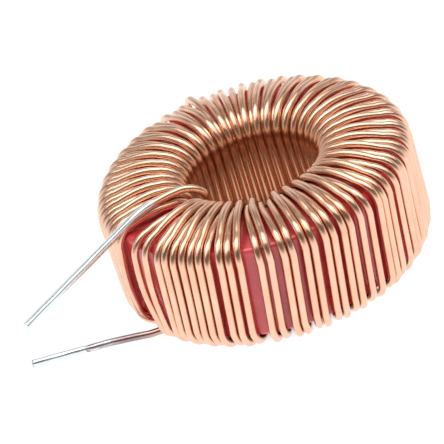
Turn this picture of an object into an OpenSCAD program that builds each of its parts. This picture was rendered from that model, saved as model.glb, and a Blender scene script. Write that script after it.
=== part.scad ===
// Toroidal inductor: one length of enamelled copper wire wound all round a
// coated iron-powder ring, with both ends led out and tinned.
// Millimetres. The origin is on the coil's axis, in the plane that it rests on.

/* [Core] */
// Outer diameter of the coated ring
core_od = 33; // [31:0.5:38]
// Inner diameter of the coated ring
core_id = 17.8; // [16.5:0.1:19]
// Height of the coated ring
core_h = 11.1; // [9:0.1:14]
// Radius of the ring's four edges
core_edge = 0.6; // [0.4:0.1:1]
// Thickness of the epoxy coating
coat_t = 0.3; // [0.1:0.05:0.35]

/* [Wire] */
// Diameter of the wire over its enamel
wire_d = 0.85; // [0.7:0.01:0.88]
// Diameter of the bare copper where the enamel is stripped off
bare_d = 0.8; // [0.6:0.01:0.82]
// Flat sides that the round wire is drawn with
wire_sides = 8; // [8, 12]
// Radius of the middle of the wire where it bends round the ring's outer edges
outer_bend = 2.35; // [1.5:0.05:2.5]

/* [Turns] */
// Number of turns through the hole
turns = 86; // [60:1:87]
// Direction of the first turn's outer leg, in degrees from +X
first_leg = -147.7; // [-150:0.1:-145]
// Direction of the last turn's outer leg
last_leg = 202; // [198:0.5:203]
// Direction of the first wire in the hole
first_bore = -143.5; // [-144.5:0.1:-143]
// Direction of the last wire in the hole, which leaves as the upper lead
last_bore = 212; // [211:0.1:212.4]
// How far it stands apart from the wire before it, in degrees
lead_room = 3; // [2:0.5:5]
// How far an outer leg's foot trails behind its top, in degrees
leg_lean = 3; // [0:0.1:3.5]
// How much closer to the next wire each second-layer wire stands, in degrees
pair_shift = 0.35; // [0:0.05:0.4]
// Wires at the start that are bunched together in the hole
bunch = 10; // [0:1:10]
// Spacing of the bunched wires, in degrees
bunch_pitch = 3.5; // [3.3:0.05:4.2]
// The turn at which the two layers change places
swap_turn = 15; // [1:2:59]
// Extra room in the hole at that turn, in degrees
swap_room = 1.9; // [1.8:0.1:2.5]
// How much further off the ring a second-layer wire turns down or in than a first-layer wire
nest = 0.2; // [0.1:0.05:0.3]
// Uneven spots outside: [turn, degrees more or less before it]
uneven = [[1, 1.4], [2, 2.6], [3, -1.2], [4, 0.3], [5, -0.8], [7, -1.2], [11, -0.8], [12, 3.8], [13, -1],
    [14, 1.7], [15, -0.8], [20, -0.6], [23, 1.2], [24, 0.8], [25, -0.2], [26, -1], [27, 1.8], [31, 1],
    [36, 1.2], [40, 0.9], [44, 1.3], [48, 1.5], [53, 1.2], [57, 1.4], [61, 1.6], [65, 2.4]];

/* [Leads] */
// Wall of solder round a stripped lead
tin_t = 0.05; // [0.03:0.01:0.1]
// Play between the copper and its solder coat
tin_play = 0.005; // [0.002:0.001:0.01]
// Where the lower lead turns in under the ring, in degrees
lower_exit = -151.5; // [-152.5:0.1:-150.5]
// Lower lead, from its tip to the ring, by its distance from where it passes under the ring's edge
lower_route = [[-15.3, 1.16, 0], [-8.5, 0.79, 0], [-6.4, 0.68, 0], [-3.6, 0.29, 0], [-1.6, -0.1, 0]];
// Upper lead, from the hole to its bend, by its distance from where it passes over the ring's edge
upper_route = [[2.56, 1.03, -0.24], [2.51, 0.95, 0.64], [2.16, 0.93, 1.16], [1.66, 0.93, 1.6],
    [1.13, 0.93, 1.89], [0.27, 0.94, 2.08]];
// Radius of the upper lead's bend, which is level
lead_bend = 10.2; // [9:0.1:14]
// How far it turns there, in degrees
lead_turn = 41.4; // [36:0.2:46]
// Direction in which its tip points, in degrees from +X
lead_heading = 227.4; // [220:0.2:235]
// Its straight length beyond the bend
lead_free = 18.5; // [8:0.5:40]

/* [Hidden] */
$fn = 96;
wire_r = wire_d / 2;
// Radii between which a wire runs straight across the ring's faces
face_in = core_id / 2 + core_edge;
face_out = core_od / 2 - core_edge;
// The second layer rides this far off the faces to pass over the first, where
// the wires are bunched most, and the coil rests on it
slant_room = 0.07;
ride = rise(arc_mm(face_in, bunch_pitch)) + slant_room;
seat = wire_d + ride;
ring_top = seat + core_h;
bore_r = core_id / 2 - wire_r;
// The tightest bend lies on the ring's edge. A wider one rests on the edge's
// middle, and so stands off the faces beside it
edge = core_edge + wire_r;
stand_off = (outer_bend - edge) * (1 - cos(45));
leg_r = core_od / 2 + wire_r + stand_off;
over_top = ring_top + wire_r + stand_off;
leg_pitch = (last_leg - first_leg - total([for (u = uneven) u[1]])) / (turns - 1);
bore_pitch = (last_bore - lead_room - first_bore - bunch * bunch_pitch - swap_room) / (turns - bunch);

function total(v) = len(v) == 0 ? 0 : v * [for (x = v) 1];
function arc_mm(r, angle) = r * angle * PI / 180;
function unit(v) = v / norm(v);
function polar(r, angle, z) = [r * cos(angle), r * sin(angle), z];

// True for a wire that lies in the hole's second layer
function second(k) = (k + (k >= swap_turn ? 1 : 0)) % 2 != 0;

// Direction of wire k in the hole, at its leg's top and at its leg's foot
function bore_at(k) = first_bore + min(k, bunch) * bunch_pitch + max(0, k - bunch) * bore_pitch
    + (k >= swap_turn ? swap_room : 0) + (k >= turns ? lead_room : 0);
function leg_at(k) = first_leg + k * leg_pitch + total([for (u = uneven) if (k >= u[0]) u[1]])
    + (second(k) ? 2 * pair_shift : 0);
function foot_at(k) = k < 0 ? lower_exit : leg_at(k) - leg_lean * (1 - 1.6 * pow(0.45, k));

// How far a wire must rise to pass over neighbours that lie this far aside
function rise(aside) = sqrt(max(0, pow(wire_d, 2) - pow(aside, 2)));
function gap_in_hole(k) = min(bore_at(k + 1) - bore_at(k), bore_at(k) - bore_at(k - 1));
function off_bore(k) = second(k) ? rise(arc_mm(bore_r, gap_in_hole(k))) : 0;
function off_face(k) = second(k) ? ride : 0;

// A corner of the wire's route round an edge of the ring, as two points that
// each turn it by 45 degrees, with the direction that faces off the ring
k_turn = tan(22.5);
function corner_point(c, s, a, b, angle, facing) =
    [polar(c[0] + s[0] * a, angle, c[1] + s[1] * b), polar(cos(facing), angle, sin(facing))];

function top_in(k) = let (
        c = [face_in, ring_top - core_edge],
        r1 = edge + off_bore(k),
        r2 = edge + off_face(k))
    [corner_point(c, [-1, 1], r1, r1 * k_turn, bore_at(k), 157.5),
     corner_point(c, [-1, 1], r2 * k_turn, r2, bore_at(k), 112.5)];
function foot_in(k) = let (
        c = [face_in, seat + core_edge],
        r1 = edge + off_bore(k),
        r2 = edge + off_face(k))
    [corner_point(c, [-1, -1], r2 * k_turn, r2, bore_at(k), -112.5),
     corner_point(c, [-1, -1], r1, r1 * k_turn, bore_at(k), -157.5)];

// An outer bend, in the upright plane through the leg and the wire's end at
// the hole: its two points, by their distance from the leg and their heights
reach = outer_bend * (1 - k_turn);
function flat(p) = [p[0], p[1], 0];
function outer_point(leg, rim, inward, z, facing) = let (d = unit(flat(rim - leg)))
    [flat(leg) + d * inward + [0, 0, z], [0, 0, sin(facing)] - d * cos(facing)];
function top_out(k) = let (leg = polar(leg_r, leg_at(k), 0), rim = top_in(k)[1][0],
        z = over_top + (second(k) ? nest : 0))
    [outer_point(leg, rim, reach, z, 67.5), outer_point(leg, rim, 0, z - reach, 22.5)];
function foot_out(k) = let (leg = polar(leg_r, foot_at(k), 0), rim = foot_in(k + 1)[0][0],
        z = wire_r + (second(k) ? nest : 0))
    [outer_point(leg, rim, 0, z + reach, -22.5), outer_point(leg, rim, reach, z, -67.5)];
function turn(k) = concat(foot_in(k), top_in(k), top_out(k), foot_out(k));

up = [0, 0, 1];
// Length of the taper from the enamel down to the bare copper
strip_step = 0.1;
// Height of the lower lead's centre, clear of the plane that the coil rests on
lower_z = max(bare_d / 2 + tin_t, wire_r) + 0.01;
low = [for (p = lower_route) polar(face_out, lower_exit, lower_z) + p];
high = [for (p = upper_route) polar(face_in, last_bore, ring_top) + p];
// The upper lead's bend in steps, the last of which are tinned like the rest of the lead
bend_steps = 12;
tinned_steps = 7;
step_turn = lead_turn / bend_steps;
bend_centre = high[len(high) - 1] - polar(lead_bend, lead_heading - 90 - lead_turn, 0);
bend = [for (i = [0 : bend_steps]) bend_centre
    + polar(lead_bend, lead_heading - 90 - (bend_steps - i) * step_turn, 0)];
bend_end = bend[bend_steps];
upper_tip = bend_end + polar(lead_free, lead_heading, 0);
enamel_end = bend_steps - tinned_steps;

// The copper's route, each point with a direction that faces off the ring. The
// bare copper starts where the enamel ends and stops short of the solder's tip
function moved(from, towards, by) = from + unit(towards - from) * by;
function placed(points, facing) = [for (p = points) [p, facing]];
aslant = up - polar(1, last_bore, 0);
lower_bare = placed([moved(low[0], low[1], 2 * tin_t), low[1]], -up);
upper_bare = placed(
    [for (i = [enamel_end : bend_steps]) bend[i], moved(upper_tip, bend_end, 2 * tin_t)], aslant);
lower_lead = placed([moved(low[1], low[2], strip_step), for (i = [2 : len(low) - 1]) low[i]], -up);
upper_lead = placed([each high, for (i = [1 : enamel_end - 1]) bend[i],
    moved(bend[enamel_end], bend[enamel_end - 1], strip_step)], aslant);
route = concat(lower_bare, lower_lead, [foot_out(-1)[1]], [for (k = [0 : turns - 1]) each turn(k)],
    foot_in(turns), upper_lead, upper_bare);

// Size of the wire at each point of the route
bare_r = bare_d / 2 * cos(180 / wire_sides);
function wire_size(i) = (i < len(lower_bare) || i >= len(route) - len(upper_bare)) ? bare_r : wire_r;

// One cross-section of the wire, in the plane that halves its bend there
function section(i) = let (
        p = route[i][0],
        before = unit(i == 0 ? route[1][0] - p : p - route[i - 1][0]),
        after = unit(i == len(route) - 1 ? before : route[i + 1][0] - p),
        t = unit(before + after),
        n = unit(route[i][1] - (route[i][1] * t) * t),
        b = cross(n, t),
        stretch = 1 / (t * after),
        r = wire_size(i) / sqrt(wire_sides / PI * tan(180 / wire_sides)) / cos(180 / wire_sides))
    [for (j = [0 : wire_sides - 1]) let (a = (j + 0.5) * 360 / wire_sides)
        p + r * stretch * cos(a) * n + r * sin(a) * b];

// Ring with its edges rounded, its skin lying skin millimetres under the coating's
module rounded_ring(skin) {
    r = core_edge - skin / 2;
    x0 = core_id / 2 + skin;
    x1 = core_od / 2 - skin;
    y0 = seat + skin;
    y1 = ring_top - skin;
    rotate_extrude() {
        translate([x0 + r, y0]) square([x1 - x0 - 2 * r, y1 - y0]);
        translate([x0, y0 + r]) square([x1 - x0, y1 - y0 - 2 * r]);
        for (x = [x0 + r, x1 - r], y = [y0 + r, y1 - r]) translate([x, y]) circle(r);
    }
}

// Pressed iron-powder ring
module magnetic_core() {
    color("dimgray") rounded_ring(coat_t);
}

// Epoxy coating, closed all round the pressed ring
module core_coating() {
    color("crimson") difference() {
        rounded_ring(0);
        rounded_ring(coat_t);
    }
}

// The whole length of wire, from one bare end to the other
module winding() {
    n = len(route);
    m = wire_sides;
    color("peru") polyhedron(
        points = [for (i = [0 : n - 1]) each section(i)],
        faces = concat(
            [[for (j = [m - 1 : -1 : 0]) j], [for (j = [0 : m - 1]) (n - 1) * m + j]],
            [for (i = [0 : n - 2], j = [0 : m - 1])
                [i * m + j, i * m + (j + 1) % m, (i + 1) * m + (j + 1) % m, (i + 1) * m + j]]));
}

// Level round bar from one place to another
module bar(from, to, r) {
    run = to - from;
    translate(from) rotate([0, 90, atan2(run[1], run[0])]) cylinder(h = norm(run), r = r);
}

// Round bar along the last part of the upper lead's bend
module bent_bar(turn, r) {
    translate(bend_centre) rotate(lead_heading - 90 - turn)
        rotate_extrude(angle = turn) translate([lead_bend, 0]) circle(r);
}

// Solder coats on the stripped leads, open towards the coil and closed at the
// tip. The upper one's straight part laps a little way into its bend
coat_out = bare_d / 2 + tin_t;
coat_in = bare_d / 2 + tin_play;
lap = 0.5;
module upper_lead_tin() {
    from = moved(bend_end, upper_tip, -lap);
    color("silver") difference() {
        union() {
            bar(from, upper_tip, coat_out);
            bent_bar(tinned_steps * step_turn, coat_out);
        }
        bar(from, moved(upper_tip, bend_end, tin_t), coat_in);
        bent_bar((tinned_steps + 1) * step_turn, coat_in);
    }
}

module lower_lead_tin() {
    color("silver") difference() {
        bar(low[1], low[0], coat_out);
        bar(moved(low[1], low[0], -lap), moved(low[0], low[1], tin_t), coat_in);
    }
}

magnetic_core();
core_coating();
winding();
upper_lead_tin();
lower_lead_tin();
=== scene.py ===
import math

import bmesh
import bpy
from mathutils import Matrix, Vector, noise


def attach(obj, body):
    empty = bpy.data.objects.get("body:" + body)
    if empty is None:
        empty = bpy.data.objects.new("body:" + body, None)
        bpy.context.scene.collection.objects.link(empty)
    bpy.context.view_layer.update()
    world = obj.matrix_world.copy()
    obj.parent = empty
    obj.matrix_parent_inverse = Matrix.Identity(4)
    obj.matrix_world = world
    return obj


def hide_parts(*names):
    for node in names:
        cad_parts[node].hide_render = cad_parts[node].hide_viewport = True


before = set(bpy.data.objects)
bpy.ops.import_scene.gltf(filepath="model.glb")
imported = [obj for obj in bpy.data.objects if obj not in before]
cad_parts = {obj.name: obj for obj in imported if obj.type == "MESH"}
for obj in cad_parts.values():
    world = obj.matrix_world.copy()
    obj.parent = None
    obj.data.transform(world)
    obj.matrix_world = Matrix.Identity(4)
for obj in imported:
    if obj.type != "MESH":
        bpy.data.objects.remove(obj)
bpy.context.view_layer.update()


# ---- Pressed powder ring ----
# Iron powder pressed with a little resin into a ring, then baked. It is dark
# grey, matt and slightly granular, and lies sealed inside the epoxy.

def new_material(name):
    """A material with an empty tree, and the object's own coordinates."""
    material = bpy.data.materials.new(name)
    material.use_nodes = True
    tree = material.node_tree
    tree.nodes.clear()
    return material, tree, put(tree, "ShaderNodeTexCoord").outputs["Object"]


def put(tree, kind, sockets=None, **settings):
    """A new node, with its settings and the values or links of its inputs."""
    node = tree.nodes.new(kind)
    for key, value in settings.items():
        setattr(node, key, value)
    for socket, value in (sockets or {}).items():
        if isinstance(value, bpy.types.NodeSocket):
            tree.links.new(value, node.inputs[socket])
        else:
            node.inputs[socket].default_value = value
    return node


def new_group(name, inputs, outputs):
    """A shader node group, with its input node and its output node."""
    tree = bpy.data.node_groups.new(name, "ShaderNodeTree")
    for socket, (kind, value) in inputs.items():
        made = tree.interface.new_socket(socket, in_out="INPUT", socket_type="NodeSocket" + kind)
        if value is not None:
            made.default_value = value
    for socket, kind in outputs.items():
        tree.interface.new_socket(socket, in_out="OUTPUT", socket_type="NodeSocket" + kind)
    return tree, put(tree, "NodeGroupInput").outputs, put(tree, "NodeGroupOutput")


def maths(tree, operation, a, b):
    return put(tree, "ShaderNodeMath", {0: a, 1: b}, operation=operation).outputs[0]


def mix_colours(tree, factor, first, second):
    """From the first colour, at factor 0, to the second, at factor 1."""
    return put(tree, "ShaderNodeMix", {0: factor, 6: first, 7: second}, data_type="RGBA").outputs[2]


def carry_over(tree, value, start, end, low, high, **settings):
    """A value that goes from low to high while the given one goes from start to end."""
    return put(tree, "ShaderNodeMapRange",
               {"Value": value, "From Min": start, "From Max": end, "To Min": low, "To Max": high},
               **settings).outputs["Result"]


def finish_material(tree, **sockets):
    """The surface shader, with its sockets by name, such as Base_Color."""
    named = {name.replace("_", " "): value for name, value in sockets.items()}
    shader = put(tree, "ShaderNodeBsdfPrincipled", named)
    put(tree, "ShaderNodeOutputMaterial", {"Surface": shader.outputs["BSDF"]})


def dress(node, material):
    """Gives a solid of the part its material."""
    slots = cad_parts[node].data.materials
    slots.clear()
    slots.append(material)


# Soft clouds that drift from one value to another over the surface
mottle, given, result = new_group(
    "mottle",
    {"Vector": ("Vector", None), "Scale": ("Float", 1.0), "Detail": ("Float", 3.0),
     "Low": ("Float", 0.0), "High": ("Float", 1.0)},
    {"Value": "Float"})
clouds = put(mottle, "ShaderNodeTexNoise",
             {name: given[name] for name in ("Vector", "Scale", "Detail")})
# Nearly all of the noise lies between these
noise_span = (0.3, 0.7)
spread = carry_over(mottle, clouds.outputs["Fac"], *noise_span, given["Low"], given["High"])
mottle.links.new(spread, result.inputs["Value"])


def drift(tree, where, scale, low, high, detail=3.0):
    """A value that drifts between low and high, over about a metre / scale."""
    return put(tree, "ShaderNodeGroup",
               {"Vector": where, "Scale": scale, "Low": low, "High": high, "Detail": detail},
               node_tree=mottle).outputs["Value"]


powder_dark = (0.09, 0.085, 0.085, 1)
powder_light = (0.2, 0.19, 0.185, 1)
powder, tree, where = new_material("pressed_iron_powder")
grain = drift(tree, where, 5000, 0, 1, detail=5)
finish_material(
    tree,
    Base_Color=mix_colours(tree, grain, powder_dark, powder_light),
    Roughness=drift(tree, where, 900, 0.75, 0.95),
    Normal=put(tree, "ShaderNodeBump", {"Strength": 0.4, "Distance": 0.00002, "Height": grain}
               ).outputs["Normal"])
dress("magnetic_core", powder)


# ---- Epoxy coating ----
# Red epoxy, fused on all round the ring in one glossy skin. It is smooth with
# a faint orange peel, and shows wherever two turns of wire stand apart.

# Sparse specks, such as dust and pinholes: 1 in a speck and 0 between them
specks, given, result = new_group(
    "specks",
    {"Vector": ("Vector", None), "Scale": ("Float", 1.0), "Size": ("Float", 0.1),
     "Share": ("Float", 0.1)},
    {"Mask": "Float"})
cells = put(specks, "ShaderNodeTexVoronoi", {name: given[name] for name in ("Vector", "Scale")})
close = maths(specks, "LESS_THAN", cells.outputs["Distance"], given["Size"])
chance = put(specks, "ShaderNodeSeparateColor", {"Color": cells.outputs["Color"]}).outputs["Red"]
picked = maths(specks, "LESS_THAN", chance, given["Share"])
specks.links.new(maths(specks, "MULTIPLY", close, picked), result.inputs["Mask"])

epoxy_red = (0.9, 0.085, 0.1, 1)
epoxy_deep = (0.74, 0.05, 0.06, 1)
epoxy_dust = (0.75, 0.55, 0.5, 1)
dustiness = 0.25
epoxy, tree, where = new_material("red_epoxy_coating")
dust = put(tree, "ShaderNodeGroup", {"Vector": where, "Scale": 1100, "Size": 0.12, "Share": 0.25},
           node_tree=specks).outputs["Mask"]
red = mix_colours(tree, drift(tree, where, 260, 0, 1), epoxy_deep, epoxy_red)
peel = put(tree, "ShaderNodeBump",
           {"Strength": 0.25, "Distance": 0.00003,
            "Height": drift(tree, where, 900, 0, 1, detail=1)})
finish_material(
    tree,
    Base_Color=mix_colours(tree, maths(tree, "MULTIPLY", dust, dustiness), red, epoxy_dust),
    Roughness=drift(tree, where, 400, 0.24, 0.36),
    Normal=peel.outputs["Normal"],
    Specular_IOR_Level=0.6,
    Coat_Weight=0.8,
    Coat_Roughness=0.06)
dress("core_coating", epoxy)


# ---- Winding ----
# One length of drawn copper wire under clear amber enamel, wound through the
# hole by hand. It turns tightly round the ring's lower inner edge and widely
# round the others, and every second wire lies in a second layer in the hole.

MM = 0.001
core_od = 33 * MM
core_id = 17.8 * MM
core_h = 11.1 * MM
core_edge = 0.6 * MM
wire_d = 0.85 * MM
bare_d = 0.8 * MM
outer_bend = 2.35 * MM
inner_bend = 2.4 * MM
turns = 86
# Directions of the legs and of the wires in the hole, in degrees
first_leg = -147.7
last_leg = 202
first_bore = -143.5
last_bore = 212
lead_room = 3
leg_lean = 3
# The first legs lean less, or the other way: how much of the lean is taken off
# the first one, and how much of that is left for each one after it
lean_taken = 1.6
lean_left = 0.45
pair_shift = 0.35
bunch = 10
bunch_pitch = 3.5
swap_turn = 15
swap_room = 1.9
nest = 0.2 * MM
slant_room = 0.07 * MM
# Uneven spots outside: turn, and the degrees more or less before it
uneven = ((1, 1.4), (2, 2.6), (3, -1.2), (4, 0.3), (5, -0.8), (7, -1.2), (11, -0.8), (12, 3.8),
          (13, -1), (14, 1.7), (15, -0.8), (20, -0.6), (23, 1.2), (24, 0.8), (25, -0.2), (26, -1),
          (27, 1.8), (31, 1), (36, 1.2), (40, 0.9), (44, 1.3), (48, 1.5), (53, 1.2), (57, 1.4),
          (61, 1.6), (65, 2.4))
# Legs that were pulled less tight: turn, and how far they bulge outwards and
# sideways
loose = {0: (0.2 * MM, -0.35 * MM), 1: (0.12 * MM, -0.3 * MM), 2: (0, -0.12 * MM),
         85: (0.35 * MM, 0.1 * MM)}
# How far every wire arches over the ring's top
arch = 0.3 * MM
# The one turn that stands proud of the ring's outer edge, and how far
proud_turn = 61
proud = 0.65 * MM
# How strongly a wire keeps its direction at the ends of a crossing
stiffness = 0.7
arc_steps = 7
crossing_steps = 7
leg_steps = 5
corner_steps = 4

wire_r = wire_d / 2
tin_coat = 0.05 * MM
# How far short of the solder's tips the copper stops
copper_short = 0.1 * MM
face_in = core_id / 2 + core_edge
face_out = core_od / 2 - core_edge
bore_r = core_id / 2 - wire_r
edge = core_edge + wire_r
# What a bend wider than the ring's own edge adds, so that it clears that edge
# half-way round, at 45 degrees
halfway = math.cos(math.radians(45))
stand_off = (outer_bend - edge) * (1 - halfway)
inner_shift = (inner_bend - edge) * halfway
leg_r = core_od / 2 + wire_r + stand_off


def rise(aside):
    return math.sqrt(max(0, wire_d ** 2 - aside ** 2))


ride_height = rise(face_in * math.radians(bunch_pitch)) + slant_room
seat = wire_d + ride_height
ring_top = seat + core_h
over_top = ring_top + wire_r + stand_off
leg_pitch = (last_leg - first_leg - sum(more for _, more in uneven)) / (turns - 1)
bore_pitch = ((last_bore - lead_room - first_bore - bunch * bunch_pitch - swap_room)
              / (turns - bunch))


def polar(r, angle, z=0):
    return Vector((r * math.cos(math.radians(angle)), r * math.sin(math.radians(angle)), z))


def level(p):
    """The level direction and distance of a place from the ring's axis."""
    return Vector((p.x, p.y, 0))


def second(k):
    """True for a wire that lies in the hole's second layer."""
    return (k + (1 if k >= swap_turn else 0)) % 2 == 1


def bore_at(k):
    return (first_bore + min(k, bunch) * bunch_pitch + max(0, k - bunch) * bore_pitch
            + (swap_room if k >= swap_turn else 0) + (lead_room if k >= turns else 0))


def leg_at(k):
    return (first_leg + k * leg_pitch + sum(more for turn, more in uneven if k >= turn)
            + (2 * pair_shift if second(k) else 0))


def foot_at(k):
    return lower_exit if k < 0 else leg_at(k) - leg_lean * (1 - lean_taken * lean_left ** k)


def inner_bend_points(k, side):
    """Points round the ring's inner edge at its top, side 1, or its foot, side
    -1, from the hole to the face."""
    gap = min(bore_at(k + 1) - bore_at(k), bore_at(k) - bore_at(k - 1))
    radius, shift = (inner_bend, inner_shift) if side > 0 else (edge, 0)
    across = radius + (rise(bore_r * math.radians(gap)) if second(k) else 0)
    along = radius + (ride_height if second(k) else 0)
    middle = (ring_top - core_edge - shift) if side > 0 else (seat + core_edge)
    points = []
    for i in range(arc_steps + 1):
        a = math.radians(90 * i / arc_steps)
        points.append(polar(face_in + shift - across * math.cos(a), bore_at(k),
                            middle + side * along * math.sin(a)))
    return points


def outer_bend_points(leg, rim, z, side):
    """Points round the ring's outer edge, from over its face down to the leg,
    in the upright plane through the leg and the wire's end at the hole."""
    inward = level(rim - leg).normalized()
    points = []
    for i in range(arc_steps + 1):
        a = math.radians(90 * i / arc_steps)
        flat = leg + inward * outer_bend * (1 - math.sin(a))
        points.append(Vector((flat.x, flat.y, z - side * outer_bend * (1 - math.cos(a)))))
    return points


def crossing(start, leaving, end, arriving, hump=0):
    """Points between the ends of two bends, over or under a face of the ring."""
    pull = (end - start).length * stiffness
    points = []
    for i in range(1, crossing_steps):
        t = i / crossing_steps
        points.append(start * (2 * t ** 3 - 3 * t ** 2 + 1) + end * (3 * t ** 2 - 2 * t ** 3)
                      + leaving * pull * (t ** 3 - 2 * t ** 2 + t)
                      + arriving * pull * (t ** 3 - t ** 2))
        points[-1].z += hump * math.sin(math.pi * t)
    return points


def straight(start, end, bulge=Vector()):
    return [start.lerp(end, i / leg_steps) + bulge * math.sin(math.pi * i / leg_steps)
            for i in range(1, leg_steps)]


def top_half(k):
    """Wire k from its end at the ring's top inner edge, out and down to its leg."""
    rim = inner_bend_points(k, 1)[-1]
    lifted = proud if k == proud_turn else 0
    leg = polar(leg_r + lifted / 2, leg_at(k))
    outer = outer_bend_points(leg, rim, over_top + (nest if second(k) else 0) + lifted, 1)
    inward = level(rim - leg).normalized()
    return crossing(rim, polar(1, bore_at(k)), outer[0], -inward, arch) + outer


def foot_half(k):
    """Wire k from its leg's foot in to its next end at the ring's lower inner edge."""
    rim = inner_bend_points(k + 1, -1)[-1]
    leg = polar(leg_r, foot_at(k))
    outer = outer_bend_points(leg, rim, wire_r + (nest if second(k) else 0), -1)[::-1]
    inward = level(rim - leg).normalized()
    return outer + crossing(outer[-1], inward, rim, -polar(1, bore_at(k + 1)))


def turn_points(k):
    """One turn: up the hole, over the top, down outside and back in below."""
    foot_in = inner_bend_points(k, -1)[::-1]
    top_in = inner_bend_points(k, 1)
    top = top_half(k)
    foot = foot_half(k)
    outwards, aside = loose.get(k, (0, 0))
    bulge = polar(outwards, leg_at(k)) + polar(aside, leg_at(k) + 90)
    return (foot_in + straight(foot_in[-1], top_in[0]) + top_in + top
            + straight(top[-1], foot[0], bulge) + foot)


def smooth_corners(points, reach):
    """The route through these points, with each corner rounded by a short curve
    that takes up less than half of the sides next to it."""
    share = 0.48
    rounded = [points[0]]
    for before, corner, after in zip(points, points[1:], points[2:]):
        back = before - corner
        ahead = after - corner
        into = corner + back.normalized() * min(reach, back.length * share)
        out = corner + ahead.normalized() * min(reach, ahead.length * share)
        for i in range(corner_steps + 1):
            t = i / corner_steps
            rounded.append(into * (1 - t) ** 2 + corner * 2 * t * (1 - t) + out * t ** 2)
    return rounded + [points[-1]]


# The leads' routes, in millimetres from where they pass the ring's edges
lower_exit = -151.5
table_gap = 0.01 * MM
lower_z = max(bare_d / 2 + tin_coat, wire_r) + table_gap
lower_corner = 0.9 * MM
upper_corner = 0.5 * MM
lower_route = ((-15.3, 1.16, 0), (-8.5, 0.79, 0), (-6.4, 0.68, 0), (-3.6, 0.29, 0),
               (-1.6, -0.1, 0))
upper_route = ((2.66, 1.16, -0.24), (2.51, 0.95, 0.64), (2.16, 0.93, 1.16), (1.66, 0.93, 1.6),
               (1.13, 0.93, 1.89), (0.27, 0.94, 2.08))
low = [polar(face_out, lower_exit, lower_z) + Vector(p) * MM for p in lower_route]
high = [polar(face_in, last_bore, ring_top) + Vector(p) * MM for p in upper_route]
# The upper lead's level bend and its straight end
lead_bend = 10.2 * MM
lead_turn = 41.4
lead_heading = 227.4
lead_free = 18.5 * MM
bend_steps = 12
tinned_steps = 7
bend_middle = high[-1] - polar(lead_bend, lead_heading - 90 - lead_turn)
bent = [bend_middle + polar(lead_bend, lead_heading - 90 - lead_turn * (1 - i / bend_steps))
        for i in range(bend_steps + 1)]
upper_tip = bent[-1] + polar(lead_free, lead_heading)

lower_foot = foot_half(-1)
out_of_ring = inner_bend_points(turns, -1)[::-1]
lower_end = low[0] + (low[1] - low[0]).normalized() * copper_short
route = (smooth_corners([lower_end] + low[1:] + [lower_foot[arc_steps]], lower_corner)[:-1]
         + lower_foot[arc_steps:])
for k in range(turns):
    route += turn_points(k)
route += out_of_ring[:-1]
route += smooth_corners([out_of_ring[-1]] + high + [bent[1]], upper_corner) + bent[2:]
route.append(upper_tip - polar(copper_short, lead_heading))

wire_tree = bpy.data.node_groups.new("wound_wire", "GeometryNodeTree")


def add_inputs(tree, inputs):
    """The tree's named inputs and its geometry in and out. Returns name: identifier."""
    tree.interface.new_socket("Geometry", in_out="OUTPUT", socket_type="NodeSocketGeometry")
    tree.interface.new_socket("Geometry", in_out="INPUT", socket_type="NodeSocketGeometry")
    return {name: tree.interface.new_socket(name, in_out="INPUT",
                                            socket_type="NodeSocket" + kind).identifier
            for name, kind in inputs.items()}


inputs = add_inputs(wire_tree, {"Wire diameter": "Float", "Bare diameter": "Float",
                                "Bare at start": "Float", "Bare at end": "Float", "Sides": "Int",
                                "Waver": "Vector", "Waver scale": "Float", "Seed": "Float",
                                "Material": "Material"})
given = put(wire_tree, "NodeGroupInput").outputs
# The wire wavers a little, because it was laid by hand
waver = put(wire_tree, "ShaderNodeTexNoise",
            {"Vector": put(wire_tree, "GeometryNodeInputPosition").outputs[0], "W": given["Seed"],
             "Scale": given["Waver scale"], "Detail": 1.0}, noise_dimensions="4D")
centred = put(wire_tree, "ShaderNodeVectorMath", {0: waver.outputs["Color"], 1: (0.5, 0.5, 0.5)},
              operation="SUBTRACT")
shift = put(wire_tree, "ShaderNodeVectorMath", {0: centred.outputs[0], 1: given["Waver"]},
            operation="MULTIPLY")
hand_laid = put(wire_tree, "GeometryNodeSetPosition",
                {"Geometry": given["Geometry"], "Offset": shift.outputs[0]})
along = put(wire_tree, "GeometryNodeSplineParameter").outputs["Length"]
whole = put(wire_tree, "GeometryNodeSplineLength").outputs["Length"]
# The material finds its place on the wire by these marks along and round it
marked = put(wire_tree, "GeometryNodeStoreNamedAttribute",
             {"Geometry": hand_laid.outputs[0], "Name": "along", "Value": along},
             data_type="FLOAT", domain="POINT")
# Both ends are stripped of enamel and so a little thinner
stripped = put(wire_tree, "FunctionNodeBooleanMath",
               {0: put(wire_tree, "FunctionNodeCompare", {0: along, 1: given["Bare at start"]},
                       operation="LESS_THAN").outputs[0],
                1: put(wire_tree, "FunctionNodeCompare",
                       {0: maths(wire_tree, "SUBTRACT", whole, along), 1: given["Bare at end"]},
                       operation="LESS_THAN").outputs[0]}, operation="OR")
across = put(wire_tree, "GeometryNodeSwitch",
             {"Switch": stripped.outputs[0], "False": given["Wire diameter"],
              "True": given["Bare diameter"]}, input_type="FLOAT")
circle = put(wire_tree, "GeometryNodeCurvePrimitiveCircle",
             {"Resolution": given["Sides"], "Radius": 1.0})
profile = put(wire_tree, "GeometryNodeStoreNamedAttribute",
              {"Geometry": circle.outputs[0], "Name": "around",
               "Value": put(wire_tree, "GeometryNodeInputPosition").outputs[0]},
              data_type="FLOAT_VECTOR", domain="POINT")
swept = put(wire_tree, "GeometryNodeCurveToMesh",
            {"Curve": marked.outputs[0], "Profile Curve": profile.outputs[0],
             "Scale": maths(wire_tree, "MULTIPLY", across.outputs[0], 0.5), "Fill Caps": True})
smooth = put(wire_tree, "GeometryNodeSetShadeSmooth", {"Geometry": swept.outputs[0]})
realized = put(wire_tree, "GeometryNodeRealizeInstances", {"Geometry": smooth.outputs[0]})
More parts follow.
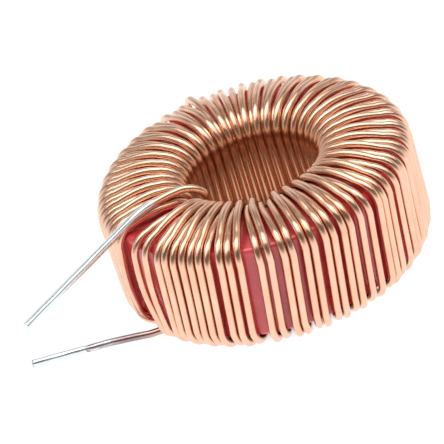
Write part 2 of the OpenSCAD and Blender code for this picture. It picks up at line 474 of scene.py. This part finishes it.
finished = put(wire_tree, "GeometryNodeSetMaterial",
               {"Geometry": realized.outputs[0], "Material": given["Material"]})
put(wire_tree, "NodeGroupOutput", {"Geometry": finished.outputs[0]})


def grow(name, start, tree, values, inputs):
    """The plain mesh that a tree grows from a curve or mesh, as a new object."""
    seed = bpy.data.objects.new(name + "_seed", start)
    bpy.context.scene.collection.objects.link(seed)
    modifier = seed.modifiers.new("grow", "NODES")
    modifier.node_group = tree
    for socket, value in values.items():
        modifier[inputs[socket]] = value
    bpy.context.view_layer.update()
    depsgraph = bpy.context.evaluated_depsgraph_get()
    mesh = bpy.data.meshes.new_from_object(seed.evaluated_get(depsgraph), depsgraph=depsgraph)
    bpy.data.objects.remove(seed)
    mesh.name = name
    piece = bpy.data.objects.new(name, mesh)
    bpy.context.scene.collection.objects.link(piece)
    return piece


copper = (0.93, 0.62, 0.46, 1)
copper_warm = (0.87, 0.53, 0.37, 1)
enamel_speck = (0.3, 0.16, 0.09, 1)
speck_depth = 0.6
# Painted shade: the enamel along the lower lead is darkened, as that lead lies in shade by the coil
painted_lead_shade = (0.36, 0.26, 0.27, 1)
lead_shade_length = 17 * MM
# Splashes of tin on the enamel next to the lower solder
tin_splash = (0.8, 0.87, 0.95, 1)
splashed_to = 10.5 * MM
# Both fade out over the last part of their length, from this share of it
fade_from = 0.7
# How much finer the drawing lines are across the wire than along it
line_stretch = 300
enamelled, tree, where = new_material("enamelled_copper")
length = put(tree, "ShaderNodeAttribute", attribute_name="along").outputs["Fac"]
girth = put(tree, "ShaderNodeAttribute", attribute_name="around").outputs["Vector"]
# Drawing lines run along the wire: fine round it and long along it
drawn = put(tree, "ShaderNodeCombineXYZ", {"Z": maths(tree, "MULTIPLY", length, line_stretch)})
drawn = put(tree, "ShaderNodeVectorMath", {0: girth, 1: (1, 1, 1), 2: drawn.outputs[0]},
            operation="MULTIPLY_ADD").outputs[0]
pits = put(tree, "ShaderNodeGroup", {"Vector": where, "Scale": 500, "Size": 0.08, "Share": 0.08},
           node_tree=specks).outputs["Mask"]
tone = mix_colours(tree, drift(tree, where, 350, 0, 1), copper_warm, copper)
# Painted shade along the lower lead, fading out away from its tip
lead_shade_mask = carry_over(tree, length, lead_shade_length * fade_from, lead_shade_length, 1, 0)
tone = mix_colours(tree, lead_shade_mask, tone, painted_lead_shade)
near_tin = carry_over(tree, length, splashed_to * fade_from, splashed_to, 1, 0)
splashes = maths(tree, "MULTIPLY", near_tin, drift(tree, drawn, 2.5, -0.4, 1.4))
splashes = put(tree, "ShaderNodeClamp", {"Value": splashes}).outputs[0]
tone = mix_colours(tree, splashes, tone, tin_splash)
lines = put(tree, "ShaderNodeBump",
            {"Strength": 0.1, "Distance": 0.000002,
             "Height": drift(tree, drawn, 4, 0, 1, detail=2)})
finish_material(
    tree,
    Base_Color=mix_colours(tree, maths(tree, "MULTIPLY", pits, speck_depth), tone, enamel_speck),
    Metallic=1.0,
    Roughness=drift(tree, drawn, 2, 0.2, 0.29),
    Normal=lines.outputs["Normal"],
    Coat_Weight=0.35,
    Coat_Roughness=0.15,
    Coat_IOR=1.5)

line = bpy.data.curves.new("wire_route", "CURVE")
line.dimensions = "3D"
spline = line.splines.new("POLY")
spline.points.add(len(route) - 1)
for point, place in zip(spline.points, route):
    point.co = (*place, 1)
upper_tinned = bent[-1 - tinned_steps:] + [upper_tip]
lower_tinned = [low[1], low[0]]


def path_length(path):
    return sum((end - start).length for start, end in zip(path, path[1:]))


winding = grow("enamelled_wire", line, wire_tree,
               {"Wire diameter": wire_d, "Bare diameter": bare_d,
                "Bare at start": path_length(lower_tinned),
                "Bare at end": path_length(upper_tinned), "Sides": 14,
                "Waver": (0.05 * MM, 0.05 * MM, 0.02 * MM), "Waver scale": 160.0, "Seed": 4.0,
                "Material": enamelled}, inputs)
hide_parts("winding")
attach(winding, "root")


# ---- Solder on the leads ----
# Both ends were stripped and dipped in molten tin, which left a thin bright
# coat that starts raggedly where the enamel ends. The tips are cut square.

tin, tree, where = new_material("tin_solder")
tin_light = (0.9, 0.98, 1.0, 1)
tin_grey = (0.78, 0.91, 1.0, 1)
ripples = put(tree, "ShaderNodeBump", {"Strength": 0.3, "Distance": 0.00002,
                                       "Height": drift(tree, where, 1500, 0, 1)})
finish_material(
    tree,
    Base_Color=mix_colours(tree, drift(tree, where, 900, 0, 1), tin_grey, tin_light),
    Metallic=0.88,
    Roughness=drift(tree, where, 700, 0.08, 0.26),
    Normal=ripples.outputs["Normal"])

coat_r = bare_d / 2 + tin_coat
coat_sides = 24
coat_steps = 40
# How unevenly the solder starts, and how far from its start that evens out
ragged = 0.8 * MM
evened = 3 * MM
# How deep the coat's shallow hollows are, and how long
hollow = 0.03 * MM
hollow_length = 2 * MM


def place_on(path, distance):
    """The place this far along a path of points."""
    for start, end in zip(path, path[1:]):
        step = (end - start).length
        if distance <= step or end is path[-1]:
            return start.lerp(end, distance / step)
        distance -= step


def solder_coat(name, path, seed):
    """A closed coat along a lead, from its ragged start to its square-cut tip."""
    whole = path_length(path)
    # Distance from the start, and the share of the full radius there
    stations = ([(0.0, 0.82), (0.2 * MM, 0.94)]
                + [(whole * (0.02 + 0.97 * i / coat_steps), 1.0) for i in range(coat_steps + 1)]
                + [(whole - 0.08 * MM, 0.98), (whole - 0.02 * MM, 0.9), (whole, 0.75)])
    mesh = bmesh.new()
    rings = []
    for distance, girth in stations:
        centre = place_on(path, distance)
        ahead = place_on(path, distance + MM / 2) - place_on(path, distance - MM / 2)
        ahead.normalize()
        aside = ahead.cross(Vector((0, 0, 1))).normalized()
        over = aside.cross(ahead)
        ring = []
        for j in range(coat_sides):
            a = math.tau * j / coat_sides
            side = aside * math.cos(a) + over * math.sin(a)
            spot = Vector((math.cos(a), math.sin(a), seed))
            late = (ragged * (0.5 + noise.noise(spot * 1.4))
                    * max(0, 1 - distance / evened) ** 3)
            along = Vector((0, 0, distance / hollow_length))
            wet = hollow * min(0, noise.noise(spot * 1.5 + along) - 0.1)
            ring.append(mesh.verts.new(centre + side * (coat_r * girth + wet) + ahead * late))
        rings.append(ring)
    for one, other in zip(rings, rings[1:]):
        for j in range(coat_sides):
            beside = (j + 1) % coat_sides
            mesh.faces.new((one[j], one[beside], other[beside], other[j]))
    mesh.faces.new(rings[0][::-1])
    mesh.faces.new(rings[-1])
    bmesh.ops.recalc_face_normals(mesh, faces=mesh.faces)
    for face in mesh.faces:
        face.smooth = True
    data = bpy.data.meshes.new(name)
    mesh.to_mesh(data)
    mesh.free()
    data.materials.append(tin)
    piece = bpy.data.objects.new(name, data)
    bpy.context.scene.collection.objects.link(piece)
    return piece


for name, node, path in (("upper_lead_solder", "upper_lead_tin", upper_tinned),
                         ("lower_lead_solder", "lower_lead_tin", lower_tinned)):
    coat = solder_coat(name, path, len(node))
    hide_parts(node)
    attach(coat, "root")


# ---- Table, light and camera ----
# The coil lies on a plain white table under a long soft lamp, in a dim room. The table glows white
# round the coil; under the coil its glow is a painted shadow, and in its hole a warm painted pool
# of light.

floor_size = 3.0
floor_mesh = bpy.data.meshes.new("table_top")
half = floor_size / 2
floor_mesh.from_pydata([(-half, -half, 0), (half, -half, 0), (half, half, 0), (-half, half, 0)], [],
                       [(0, 1, 2, 3)])
# The table's own colour is a dark grey; its glow alone makes it white
table_grey = (0.1, 0.1, 0.1, 1)
table_glow = (1.0, 1.0, 1.0, 1)
# Painted shadow under the coil and a painted warm pool of light in its hole, both given as the
# table's glow
painted_coil_shadow = (0.02, 0.006, 0.003, 1)
painted_hole_light = (0.86, 0.53, 0.37, 1)
# Distances from the coil's axis between which each shade passes into the next
hole_fade = (2 * MM, 6.6 * MM)
coil_fade = (11.5 * MM, 16 * MM)
table, tree, where = new_material("white_table")
from_axis = put(tree, "ShaderNodeVectorMath", {0: where}, operation="LENGTH").outputs["Value"]
under_coil = carry_over(tree, from_axis, *hole_fade, 0, 1, interpolation_type="SMOOTHSTEP")
outside = carry_over(tree, from_axis, *coil_fade, 0, 1, interpolation_type="SMOOTHSTEP")
# The table's glow: painted light in the hole, painted shadow under the coil, plain white outside
shade = mix_colours(tree, under_coil, painted_hole_light, painted_coil_shadow)
finish_material(tree, Base_Color=table_grey, Roughness=0.7,
                Emission_Color=mix_colours(tree, outside, shade, table_glow), Emission_Strength=1.0)
floor_mesh.materials.append(table)
floor = bpy.data.objects.new("table_top", floor_mesh)
bpy.context.scene.collection.objects.link(floor)

# The room round the table: bright at the foot of its walls, dark above them in
# front, paler behind, and paler again overhead, round the lamp
world = bpy.data.worlds.new("pale_room")
world.use_nodes = True
tree = world.node_tree
tree.nodes.clear()
direction = put(tree, "ShaderNodeTexCoord").outputs["Generated"]
looking = put(tree, "ShaderNodeSeparateXYZ", {0: direction}).outputs


def wall(shades):
    """The room's shades by height: 0 level with the table and 1 overhead."""
    ramp = put(tree, "ShaderNodeValToRGB", {"Fac": looking["Z"]})
    first, last = ramp.color_ramp.elements
    (first.position, first.color), (last.position, last.color) = (
        (height, (*shade, 1)) for height, shade in (shades[0], shades[-1]))
    for height, shade in shades[1:-1]:
        ramp.color_ramp.elements.new(height).color = (*shade, 1)
    return ramp.outputs[0]


ceiling = (0.75, 0.74, 0.7)
front = wall(((0.0, (0.95, 0.95, 0.95)), (0.12, (0.74, 0.72, 0.7)), (0.25, (0.2, 0.15, 0.11)),
              (0.75, (0.12, 0.085, 0.06)), (0.9, (0.42, 0.39, 0.34)), (1.0, ceiling)))
behind = wall(((0.0, (1.0, 1.0, 1.0)), (0.12, (0.86, 0.87, 0.88)), (0.4, (0.62, 0.6, 0.58)),
               (0.7, (0.2, 0.16, 0.13)), (0.88, (0.46, 0.43, 0.38)), (1.0, ceiling)))
# How far back the front wall passes into the wall behind
side_walls = (-0.4, 0.3)
room = mix_colours(tree, carry_over(tree, looking["Y"], *side_walls, 0, 1), front, behind)
# Dim shapes stand about in the room
shape_tone = (0.16, 0.12, 0.09, 1)
shape_depth = 0.45
shapes = put(tree, "ShaderNodeTexNoise", {"Vector": direction, "Scale": 3.5, "Detail": 1.0})
dimmed = carry_over(tree, shapes.outputs["Fac"], 0.45, 0.7, 0, shape_depth)
room = mix_colours(tree, dimmed, room, shape_tone)
# A pale window in the wall behind, brightest in its middle
window_tone = (1.1, 1.06, 0.98, 1)
window_depth = 0.8
window_middle = (0.04, 0.85, 0.525)
window_edge = 0.94
facing = put(tree, "ShaderNodeVectorMath", {0: direction, 1: window_middle},
             operation="DOT_PRODUCT").outputs["Value"]
window = carry_over(tree, facing, window_edge, 1.0, 0, window_depth)
room = mix_colours(tree, window, room, window_tone)
background = put(tree, "ShaderNodeBackground", {"Color": room, "Strength": 1.0})
put(tree, "ShaderNodeOutputWorld", {"Surface": background.outputs[0]})
bpy.context.scene.world = world


def softbox(name, place, size, power):
    """A soft oblong lamp over the table, turned towards the coil. Sizes in metres
    and power in watts."""
    light = bpy.data.lights.new(name, "AREA")
    light.shape = "RECTANGLE"
    light.size, light.size_y = size
    light.energy = power
    lamp = bpy.data.objects.new(name, light)
    lamp.location = place
    lamp.rotation_euler = (Vector() - Vector(place)).to_track_quat("-Z", "Y").to_euler()
    lamp.visible_camera = False
    bpy.context.scene.collection.objects.link(lamp)


softbox("overhead", place=(0, -0.03, 0.36), size=(0.9, 0.36), power=1.3)
softbox("bulb", place=(0, -0.01, 0.35), size=(0.35, 0.1), power=0.18)

# The view: what the camera turns about, what it aims at, and how it is tilted
view_elevation = math.radians(32)
view_distance = 0.2839
view_roll = math.radians(17.72)
view_lens = 209.3
focus = Vector((0, 0, 0.0069))
aim = Vector((-0.00492, -0.00008, 0.00678))
camera = bpy.data.objects.new("camera", bpy.data.cameras.new("camera"))
camera.location = focus + view_distance * Vector((0, -math.cos(view_elevation),
                                                  math.sin(view_elevation)))
camera.rotation_mode = "QUATERNION"
camera.rotation_quaternion = ((aim - camera.location).to_track_quat("-Z", "Y")
                              @ Matrix.Rotation(-view_roll, 3, "Z").to_quaternion())
camera.data.lens = view_lens
camera.data.sensor_width = 36
bpy.context.scene.collection.objects.link(camera)
bpy.context.scene.camera = camera
bpy.context.scene.view_settings.view_transform = "Standard"
